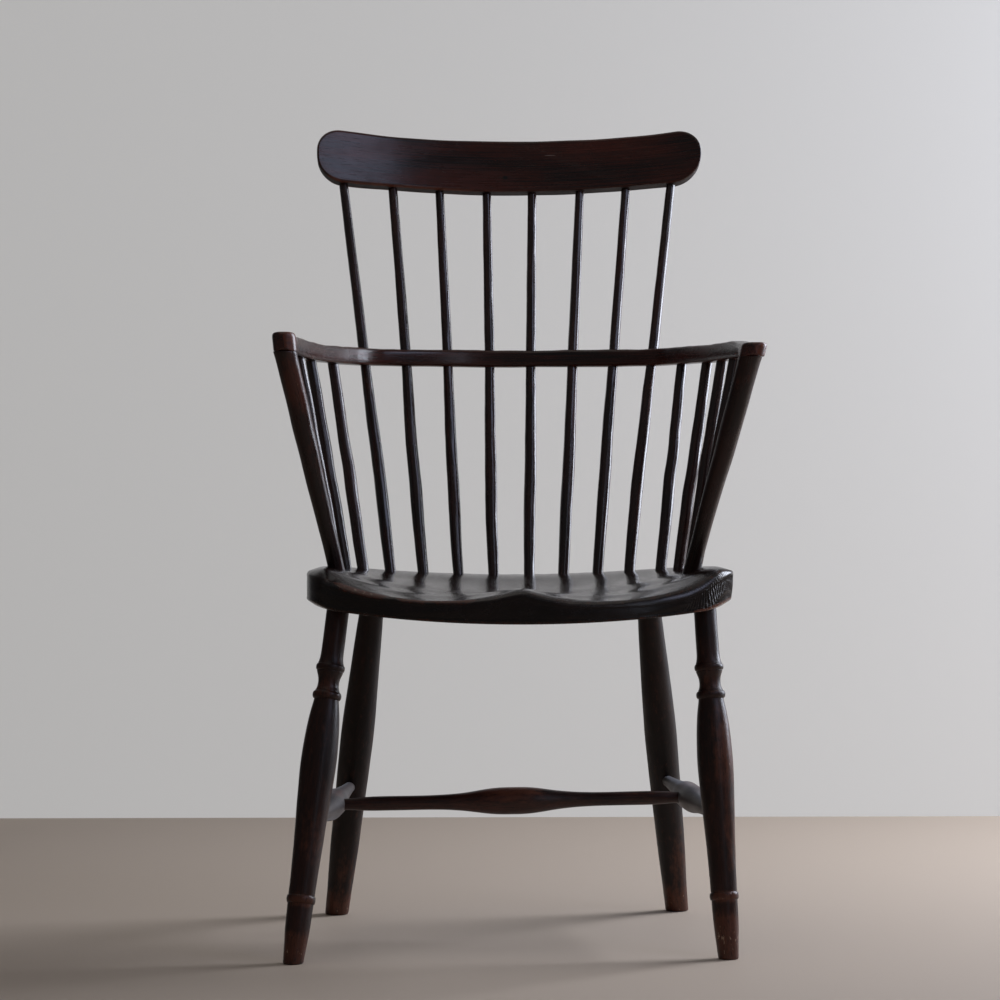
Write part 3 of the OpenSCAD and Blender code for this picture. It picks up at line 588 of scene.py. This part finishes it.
spindle = {
    "line": (230, 258), "seatDia": 14, "swell": 15.8, "bowDia": 13.2, "combDia": 11.6, "socket": (18, 14),
    "combSocket": 20,
    # turns round the bow and the seat, and places along the comb, from the middle out, left and right
    "longBow": ((4.64, 14.16, 23.93, 44.43), (4.56, 13.96, 23.39, 39.19)),
    "longComb": ((30.6, 93.8, 156.1, 221), (30.1, 93.6, 154.4, 212.9)),
    "shortSeat": ((56.5, 67.5, 75, 80), (54.8, 64.6, 72.5, 78.5)),
    "shortBow": ((66.1, 73, 77.6, 82), (63.5, 70, 74.5, 79)),
    # how far each long spindle has bent to the right, from the left one to the right one
    "longBend": (0.4, -1.6, -1.5, -1.2, 0.3, 0.6, -0.4, -2.0),
}


def spindleFoot(side, t):
    x = side * spindle["line"][0] * math.sin(math.radians(t))
    return point(x, seat["wideY"] + spindle["line"][1] * math.cos(math.radians(t)), seatOver(x))


shaved = {"sides": 28, "step": 4, "oval": 0.014, "wander": 0.016, "wanderLength": 120, "flats": 0.16,
          "ripple": 0.45, "wearAll": 0.12}
seatDia, swell, bowDia, combDia = spindle["seatDia"], spindle["swell"], spindle["bowDia"], spindle["combDia"]
held, bowTenon = spindle["socket"]
for which, (side, word) in enumerate(((-1, "Left"), (1, "Right"))):
    for k in range(4):
        # a long one runs straight from the comb through the middle of the bow down to the seat
        p = bowLine(spindle["longBow"][which][k])
        inBow = point(side * p[0], p[1], bow["top"] - bow["high"] / 2)
        high = combPoint(np.float64(comb["x"] + side * spindle["longComb"][which][k]))
        low = atHeight(inBow, high, seatOver(atHeight(inBow, high, seat["top"])[0]))
        a = low - unit(high - low) * held
        length, atBow = np.linalg.norm(high - a), np.linalg.norm(inBow - a)
        rows = [(0, seatDia - 1)] + list(smoothLine([
            (0.6, seatDia), (held + 4, seatDia), (held + 100, swell),
            ((held + 100 + atBow) / 2, bowDia + 1.6), (atBow - bow["high"], bowDia),
            (atBow + bow["high"], bowDia), ((atBow + length) / 2, combDia + 0.9), (length - 6, combDia),
            (length + spindle["combSocket"] - 1, combDia)], 6))
        number = 4 - k if side < 0 else 5 + k
        look = {**shaved, "seed": 40 + number, "bend": spindle["longBend"][number - 1], "held": (held, atBow),
                "worn": [(atBow - 40, 60, 0.36, (0.5, -1, 0)), (held + 30, 50, 0.3, (0, -1, 0))]}
        turnedPiece(f"longSpindle{number}", f"long_spindle_{number}", a, high, rows, look, waxedBeech)
        # a short one stands between the seat and the underside of the bow
        p = bowLine(spindle["shortBow"][which][k])
        low, high = spindleFoot(side, spindle["shortSeat"][which][k]), point(side * p[0], p[1], bowUnder)
        a = low - unit(high - low) * held
        length = np.linalg.norm(high - a)
        rows = [(0, seatDia - 1)] + list(smoothLine([
            (0.6, seatDia), (held + 4, seatDia), (held + 90, swell - 0.4),
            (held + 0.7 * (length - held), bowDia + 1), (length - 8, bowDia),
            (length + bowTenon - 1, bowDia)], 6))
        look = {**shaved, "seed": 60 + 10 * which + k, "held": (held, length),
                "worn": [(length - 60, 60, 0.3, (0.5, -1, 0))]}
        turnedPiece(f"shortSpindle{word}{k + 1}", f"short_spindle_{word.lower()}_{k + 1}", a, high, rows,
                    look, waxedBeech)
print("spindles made")


# the arm bow, bent from one stick

def makeBow():
    rng = np.random.default_rng(71)
    turns = np.concatenate([np.arange(-90, -62, 0.35), np.arange(-62, -30, 0.9), np.arange(-30, 30, 0.8),
                            np.arange(30, 62, 0.9), np.arange(62, 90.01, 0.35)])
    centre = np.array([bowLine(abs(t)) * [math.copysign(1, t) if t else 0, 1] for t in turns])
    endWide = bow["gripWide"] / 2
    cap = endWide * np.sin(np.radians(np.linspace(4, 88, 20)))  # closer and closer rows round each end
    line = np.vstack([[centre[0] - [0, d] for d in cap[::-1]], centre, [centre[-1] - [0, d] for d in cap]])
    past = np.concatenate([cap[::-1], np.zeros(len(centre)), cap])
    turnAt = np.concatenate([np.full(len(cap), -90), turns, np.full(len(cap), 90)])
    tangent = np.gradient(line, axis=0)
    tangent /= np.linalg.norm(tangent, axis=1)[:, None]
    tangent[:len(cap)] = [0, 1]
    tangent[-len(cap):] = [0, -1]
    out = np.stack([-tangent[:, 1], tangent[:, 0]], 1)  # away from the sitter
    along = np.concatenate([[0], np.cumsum(np.linalg.norm(np.diff(line, axis=0), axis=1))])
    total = along[-1]
    toEnd = np.minimum(along, total - along) - endWide
    half = bow["wide"] / 2 + (endWide - bow["wide"] / 2) * smoothStep(bow["gripRun"], 0, toEnd)
    half = np.where(past > 0, np.sqrt(np.maximum(endWide ** 2 - past ** 2, 0.01)), half)
    drop = np.where(past > 0, roundOff(bow["endRound"], endWide - past), 0)
    proud = bow["gripProud"] * smoothStep(34, 8, toEnd)
    wander, wanderTop = waves(rng, 210), waves(rng, 150)
    half = half * (1 + 0.012 * wander(along))
    top = bow["top"] + proud + 0.35 * wanderTop(along) * smoothStep(0, 60, toEnd)
    # hands have rubbed the right arm's end down, and the left one rises
    rubbed = smoothStep(*bow["rubbedRun"], total - along - endWide)
    top = top - bow["rubbedDown"][1] * rubbed * (line[:, 0] > 0)
    under = bowUnder - proud + 0.25 * wander(along + 90)
    rise = bow["rise"] * smoothStep(bow["riseRun"], 0, along - endWide)
    upper, lower = top + rise - drop, under + rise + drop
    tilt = bow["tilt"] * smoothStep(-20, -35, turnAt) * smoothStep(-85, -65, turnAt)
    turn = np.radians(np.arange(0, 360, 9) + 4.5)
    cos, sin = np.cos(turn), np.sin(turn)
    rows, grainRows, wearRows = [], [], []
    for i in range(len(line)):
        high = (upper[i] - lower[i]) / 2
        atPost = smoothStep(46, 16, toEnd[i])
        side = math.copysign(1, line[i, 0])
        arm = 0 if side < 0 else 1
        # a rectangle with soft corners and nearly flat faces, nearly sharp below where it sits on its post
        power = 2 / bow["square"] * np.where(sin < 0, 1 - 0.75 * atPost, 1)
        z = high * np.sign(sin) * np.abs(sin) ** power
        x = (half[i] + bow["wider"][arm] * atPost) * np.sign(cos) * np.abs(cos) ** power + tilt[i] * z
        # its end leans as the post does, fully so on the right
        lean = side * atPost * (bow["lean"][arm] * (z - high) + bow["leanOut"][arm])
        rows.append(np.stack([line[i, 0] + out[i, 0] * x + lean, line[i, 1] + out[i, 1] * x,
                              (upper[i] + lower[i]) / 2 + z], -1))
        grainRows.append(np.stack([x + 48, z + 22, np.full(len(turn), along[i] + 900)], -1))
        edge = np.clip((np.abs(cos * sin) - 0.34) * 6, 0, 1) * 0.3
        # hands have rubbed the arms' ends, most on their right and along the top
        endWear = 0.85 * smoothStep(60, 6, toEnd[i])
        rightward = out[i, 0] * cos * (1 if past[i] == 0 else 0.5)
        wearRows.append(np.maximum(edge, endWear * np.clip(0.15 + 0.7 * rightward + 0.35 * sin, 0, 1)) + 0.1)
    n, count = len(turn), len(line)
    faces = skin(count, n) + [tuple(range(n)), tuple(range((count - 1) * n, count * n))]
    addPiece("armBow", "arm_bow", np.vstack(rows), faces, np.vstack(grainRows),
             np.concatenate(wearRows), waxedAsh)


makeBow()
print("arm bow made")


# the comb: a bent rail with rounded ends

def makeComb():
    rng = np.random.default_rng(81)
    half, high, thick = comb["halfLong"], comb["high"], comb["thick"]
    r1, r2, r3, r4 = comb["corners"]
    corners = np.array([(half - r1, r1), (half - r2, high - r2), (r3 - half, high - r3), (r4 - half, r4)])
    ways = np.array([(0, -1), (1, 0), (0, 1), (-1, 0)])  # out of the lower, right, upper and left side
    loop = []
    for k, (centre, r, out) in enumerate(zip(corners, comb["corners"], ways)):
        # a straight side and the rounded corner after it
        a, b = corners[k - 1] + comb["corners"][k - 1] * out, centre + r * out
        loop += [(*(a + (b - a) * t), *out) for t in np.linspace(0, 1, 4 if k % 2 else 130)[:-1]]
        for c in np.radians(np.linspace(0, 90, 19)[:-1] + 90 * k - 90):
            loop.append((centre[0] + r * math.cos(c), centre[1] + r * math.sin(c), math.cos(c), math.sin(c)))
    loop = np.array(loop)
    edge, outward = loop[:, :2], loop[:, 2:]
    # the edge wanders a little, as it was sawn by eye
    wander, facing = waves(rng, 260, 4), waves(rng, 330, 4)
    edge = edge + outward * (0.35 * wander(edge[:, 0]) - 0.35)[:, None]
    spineX = np.clip(edge[:, 0], -(half - high / 2), half - high / 2)
    spine = np.stack([spineX, np.full(len(edge), high / 2)], 1)
    edgeSteps = (0, 0.12, 0.4, 0.9, 1.6, 2.6, 3.6, 4.6, 6.5)  # in from the outline
    inner = edge - outward * edgeSteps[-1]
    # which face, outline, depth and how far it is rubbed, from the middle of the front to that of the back
    n, order = len(edge), []
    for side, ease in ((-1, comb["frontEdge"]), (1, comb["backEdge"])):
        sheets = [(side, edge - outward * e, side * (thick / 2 - roundOff(ease, e)), smoothStep(6, 0, e))
                  for e in edgeSteps]
        sheets += [(side, spine + (inner - spine) * t, side * thick / 2, 0)
                   for t in (0.92, 0.8, 0.65, 0.5, 0.34, 0.17, 0)]
        if side < 0:
            wallStart, wallDeep = comb["frontEdge"] - thick / 2, thick - comb["frontEdge"] - comb["backEdge"]
            order = sheets[::-1] + [(0, edge, wallStart + wallDeep * k / 6, 0.25) for k in range(1, 6)]
            sawn = (len(sheets) - 2) * n, len(order) * n  # the narrow sides have their own finish
        else:
            order += sheets
    points, grain, wear = [], [], []
    for side, flat, depth, rub in order:
        u, v = flat.T
        hollow = 0.25 * np.abs(facing(u + 2.2 * v)) * abs(side)  # the saw's and plane's slight unevenness
        points.append(combPoint(u, v, depth - side * hollow * (1 - rub)))
        grain.append(np.stack([v + 160, np.full(n, depth + 40.0), u + 300], -1))
        atFoot = smoothStep(12, 3, v) * smoothStep(60, -140, u)
        wear.append(0.12 + rub * (0.1 + 0.5 * atFoot))
    addPiece("combRail", "comb_rail", np.vstack(points), skin(len(order), n), np.vstack(grain),
             np.concatenate(wear), waxedAsh, (sawnAsh, *sawn))


makeComb()
print("comb made")


# the seat: one plank, hollowed for the sitter

def seatTopZ(x, y):
    # the plank's top, eased down at the rim and hollowed by scooped curves
    out = np.hypot(x - seat["x"], y - seat["wideY"])
    z = softMin(seatOver(x), seat["rimZ"] + (seat["halfWidth"] + seat["rimOut"] - out) / seat["rimRun"], 3)
    for right, back, depth, radius in seat["hollows"]:
        cx, cy = seat["x"] + right, seat["wideY"] + back
        cz = seatOver(cx) - depth + radius
        gap = np.maximum(radius ** 2 - (x - cx) ** 2 - (y - cy) ** 2, 0)
        z = softMin(z, cz - np.sqrt(gap), seat["easing"])
    return z


def seatUnderZ(x, y):
    out = np.hypot(x - seat["x"], y - seat["wideY"])
    low = seatUnder(seat["x"] + seat["halfWidth"]) + seat["bevel"]
    return softMax(seatUnder(x), low + (out - seat["halfWidth"] - seat["rimOut"]) / seat["bevelRun"], 2)


def seatOutline(t):
    front = np.sin(t) < 0
    power = np.where(front, 2 / seat["squareness"], 1)
    x = seat["x"] + seat["halfWidth"] * np.sign(np.cos(t)) * np.abs(np.cos(t)) ** power
    deep = np.where(front, seat["front"], seat["back"])
    return x, seat["wideY"] + deep * np.sign(np.sin(t)) * np.abs(np.sin(t)) ** power


def makeSeat():
    rng = np.random.default_rng(91)
    fx, fy = seatOutline(np.linspace(0, 2 * math.pi, 20001))
    run = np.concatenate([[0], np.cumsum(np.hypot(np.diff(fx), np.diff(fy)))])
    apart, close = seat["spacing"]
    density = 1 / apart + (1 / close - 1 / apart) * smoothStep(40, 70, fx) * smoothStep(-60, -90, fy)
    steps = np.concatenate([[0], np.cumsum(np.diff(run) * density[1:])])
    count = int(steps[-1])
    at = np.interp(np.arange(count) * steps[-1] / count, steps, run)
    ex, ey = np.interp(at, run, fx), np.interp(at, run, fy)
    cx, cy = seat["x"], seat["wideY"] + 60
    reach = np.hypot(ex - cx, ey - cy)
    wander = waves(rng, 400, 4)
    front = smoothStep(-110, -170, ey)
    rollX, *rollRows = np.array(seat["roll"], float).T
    roll, sink, lipWide, lipDeep = [np.interp(ex, rollX, row) for row in rollRows]
    sink = front * sink
    lipWide = seat["edge"] + (lipWide - seat["edge"]) * front
    lipDeep = seat["edge"] + (lipDeep - seat["edge"]) * front
    rippled = (0.3 * smoothStep(40, 90, ex) + 0.7 * smoothStep(150, 215, ex)) * smoothStep(-80, -125, ey)

    def ripple(e):
        return seat["rippleHigh"] * rippled * np.sin(2 * math.pi * (at + 1.2 * e) / seat["ripple"])

    border, wellIn = 25, 1000

    def rowsIn(edges, inner):
        # rows from the edge in: share of the way from the middle to the edge, and how far in
        return [(1 - e / reach, e) for e in edges] \
            + [((1 - border / reach) * t, wellIn) for t in np.linspace(1, 0, inner)[1:]]

    def spot(share):
        return cx + (ex - cx) * share, cy + (ey - cy) * share

    rows, wearRows = [], []
    edges = 0, 0.15, 0.5, 1.1, 1.9, 2.9, 4, 5.2, 6.6, 8, 9.6, 11.4, 13.4, 16, 20, border
    for share, e in rowsIn(edges, 56):
        x, y = spot(share)
        z = seatTopZ(x, y) - sink * np.maximum(1 - e / roll, 0) ** 1.8
        z = z - lipDeep * (1 - np.sqrt(1 - np.maximum(1 - e / lipWide, 0) ** 2))
        # the shave's ripples, and fainter ones all round
        z = z + ripple(e) * math.exp(-((e - 3) / 5.5) ** 2)
        z = z + 0.18 * np.sin(2 * math.pi * (x * 0.8 - y) / 23) * math.exp(-e / 14)
        rows.append(np.stack([x, y, z + 0.18 * wander(x + 0.7 * y)], -1))
        # knees have rubbed the left of the front edge bare, and keys or studs have nicked it further in
        edgeWear = 0.8 * math.exp(-((e - 4) / 5) ** 2)
        bare = smoothStep(-148, -170, x) * smoothStep(-228, -208, x)
        nicked = 0.6 * math.exp(-((e - 2) / 2) ** 2) * smoothStep(-150, -140, x) * smoothStep(-48, -62, x)
        rub = edgeWear * (0.35 + front * (0.1 + 0.75 * bare)) + front * nicked
        inner = 0.06 + 0.26 * np.exp(-(((x - cx) / 150) ** 2 + ((y + 90) / 120) ** 2))
        wearRows.append(np.maximum(rub, inner))
    rows, wearRows = rows[::-1], wearRows[::-1]
    topCount = len(rows)

    underRows, underWear = [], []
    rightFoot = smoothStep(205, 222, ex) * smoothStep(-100, -120, ey)
    for share, e in rowsIn((0, 0.3, 0.9, 1.8, 3, 6, 10, 16, border), 30):
        x, y = spot(share)
        underRows.append(np.stack([x, y, seatUnderZ(x, y) + roundOff(seat["underEdge"], e)], -1))
        underWear.append(0.1 + 0.3 * math.exp(-e / 4) + 0.8 * rightFoot * math.exp(-((e - 3) / 5) ** 2))

    upper, lower = rows[-1], underRows[0]
    away = np.stack([(ex - cx) / reach, (ey - cy) / reach, 0 * ex], -1)
    for k in range(1, 9):
        p = upper + (lower - upper) * k / 9
        bulge = 0.35 * math.sin(math.pi * k / 9) - 0.4 + 0.12 * wander(1.7 * ex + ey + 30 * k)
        rows.append(p + away * (bulge + ripple(p[:, 2] - upper[:, 2]))[:, None])
        wearRows.append(np.full(count, 0.16))
    rows += underRows
    points = np.vstack(rows)
    # its right wall was sawn aslant, so it is undercut
    slanted = smoothStep(215, 256, points[:, 0]) * smoothStep(60, -20, points[:, 1])
    points[:, 0] += seat["undercut"] * (points[:, 2] - seat["top"] + seat["thick"] / 2) * slanted
    grain = np.stack([points[:, 0] + 35, points[:, 2] - 330, points[:, 1] + 500], -1)
    faces = skin(len(rows), count)
    addPiece("elmSeat", "seat", points, faces, grain, np.concatenate(wearRows + underWear),
             waxedElm, (sawnElm, (topCount - 1) * count, len(faces)))


makeSeat()
print("seat made")


# floor, wall, lamps and camera

studio = {
    # colours lit and seen, glow of its own and how much of it mirrors show, and where the glow sets in:
    # so far from the middle, or so far from the left
    "floor": {"colour": "#ccbba8", "seen": "#ccbba8", "rough": 0.7, "glow": 0.72, "reflected": 0.1,
              "fades": "near", "fade": (1.45, 3.3)},
    "wall": {"colour": "#a3a2a1", "seen": "#d6d5d3", "rough": 0.85, "glow": 0.53, "reflected": 0.6,
             "fades": "left", "fade": (-1.7, -0.8)},
    "wallY": 1.45, "wallHigh": 6, "wide": 9, "air": "#c9ccd0", "airLevel": 0.07, "airSeen": 0.8,
    # place, what it points at, width, height, watts, colour
    "lamps": {
        "window": ((2.1, 0.88, 1.38), (0, 0.05, 0.8), 1.2, 1.8, 72, "#eaf0ff"),
        "frontWindow": ((2.2, -1.9, 2.1), (0, 0, 0.9), 1.4, 1.2, 11, "#d3dcff"),
        "doorway": ((1.3, -2.7, 1.1), (0, 0, 0.6), 0.3, 1.7, 2.2, "#e4ebff"),
        "ceiling": ((-0.4, -0.6, 3.2), (0, 0, 0.4), 2.4, 2.4, 8, "#fff8ef"),
    },
}


def mirroredRays(tree, ray):
    return addNode(tree, "ShaderNodeMath", plus, (),
                   {0: ray.outputs["Is Glossy Ray"], 1: ray.outputs["Is Transmission Ray"]})


def plainFinish(name, look):
    material = bpy.data.materials.new(name)
    material.use_nodes = True
    tree = material.node_tree
    tree.nodes.clear()
    near = look["fades"] == "near"
    place = addNode(tree, "ShaderNodeNewGeometry")
    # the floor stays pale where no lamp reaches, and the wall's dim left end is what the arm bow mirrors
    if near:
        there = addNode(tree, "ShaderNodeVectorMath", {"operation": "LENGTH"}, (),
                        {0: place.outputs["Position"]}).outputs["Value"]
    else:
        there = addNode(tree, "ShaderNodeSeparateXYZ", links={0: place.outputs["Position"]}).outputs["X"]
    share = addNode(tree, "ShaderNodeMapRange", {"interpolation_type": "SMOOTHSTEP"},
                    {"From Min": look["fade"][0], "From Max": look["fade"][1], "To Max": look["glow"]},
                    {"Value": there})
    ray = addNode(tree, "ShaderNodeLightPath")
    reflected = addNode(tree, "ShaderNodeMath", times, {1: look["reflected"]}, {0: mirroredRays(tree, ray)})
    dimmed = addNode(tree, "ShaderNodeMath", times, (), {0: reflected, 1: share})
    straight = addNode(tree, "ShaderNodeMath", times, {1: look["glow"]}, {0: ray.outputs["Is Camera Ray"]})
    if near:
        tree.links.new(share.outputs[0], straight.inputs[1])
    strength = addNode(tree, "ShaderNodeMath", plus, (), {0: straight, 1: dimmed})
    surface = addNode(tree, "ShaderNodeBsdfPrincipled", values={
        "Base Color": linear(look["colour"]), "Roughness": look["rough"],
        "Emission Color": linear(look["seen"])}, links={"Emission Strength": strength})
    if not near:
        # a wall that only its front shows, so that the chair is seen from behind too
        clear = addNode(tree, "ShaderNodeBsdfTransparent")
        surface = addNode(tree, "ShaderNodeMixShader", (), (),
                          {0: place.outputs["Backfacing"], 1: surface, 2: clear})
    addNode(tree, "ShaderNodeOutputMaterial", links={"Surface": surface})
    return material


def stagePlane(name, corners, material):
    mesh = bpy.data.meshes.new(name)
    mesh.from_pydata(corners, [], [(0, 1, 2, 3)])
    mesh.materials.append(material)
    plane = bpy.data.objects.new(name, mesh)
    scene.collection.objects.link(plane)


wide, y, high = studio["wide"], studio["wallY"], studio["wallHigh"]
stagePlane("floor", [(-wide, -wide, 0), (wide, -wide, 0), (wide, wide, 0), (-wide, wide, 0)],
           plainFinish("pale floor", studio["floor"]))
stagePlane("backWall", [(-wide, y, 0), (wide, y, 0), (wide, y, high), (-wide, y, high)],
           plainFinish("lime plaster", studio["wall"]))

world = bpy.data.worlds.new("room")
world.use_nodes = True
scene.world = world
air = world.node_tree.nodes["Background"]
air.inputs["Color"].default_value = linear(studio["air"])
ray = addNode(world.node_tree, "ShaderNodeLightPath")
seen = addNode(world.node_tree, "ShaderNodeMath", timesPlus, {1: 0.1},
               {0: mirroredRays(world.node_tree, ray), 2: ray.outputs["Is Camera Ray"]})
level = addNode(world.node_tree, "ShaderNodeMapRange",
                values={"To Min": studio["airLevel"], "To Max": studio["airSeen"]}, links={"Value": seen})
world.node_tree.links.new(level.outputs[0], air.inputs["Strength"])

for name, (place, aim, wideLamp, highLamp, watts, colour) in studio["lamps"].items():
    lamp = bpy.data.lights.new(name, "AREA")
    lamp.shape = "RECTANGLE"
    lamp.size, lamp.size_y, lamp.energy, lamp.color = wideLamp, highLamp, watts, linear(colour)[:3]
    holder = bpy.data.objects.new(name, lamp)
    scene.collection.objects.link(holder)
    x, y, z = np.array(aim) - np.array(place)
    holder.location = place
    holder.rotation_euler = (math.atan2(math.hypot(x, y), -z), 0, math.atan2(y, x) - math.pi / 2)

view = {"place": (-0.1067, -4.0953, 0.5629), "turn": -1.24, "lens": 116.57, "shiftY": -0.0114}
cameraData = bpy.data.cameras.new("camera")
cameraData.lens, cameraData.sensor_width, cameraData.shift_y = view["lens"], 36, view["shiftY"]
camera = bpy.data.objects.new("camera", cameraData)
camera.location = view["place"]
camera.rotation_euler = Euler((math.pi / 2, 0, math.radians(view["turn"])))
scene.collection.objects.link(camera)
scene.camera = camera
scene.view_settings.view_transform = "Standard"
print("studio made")
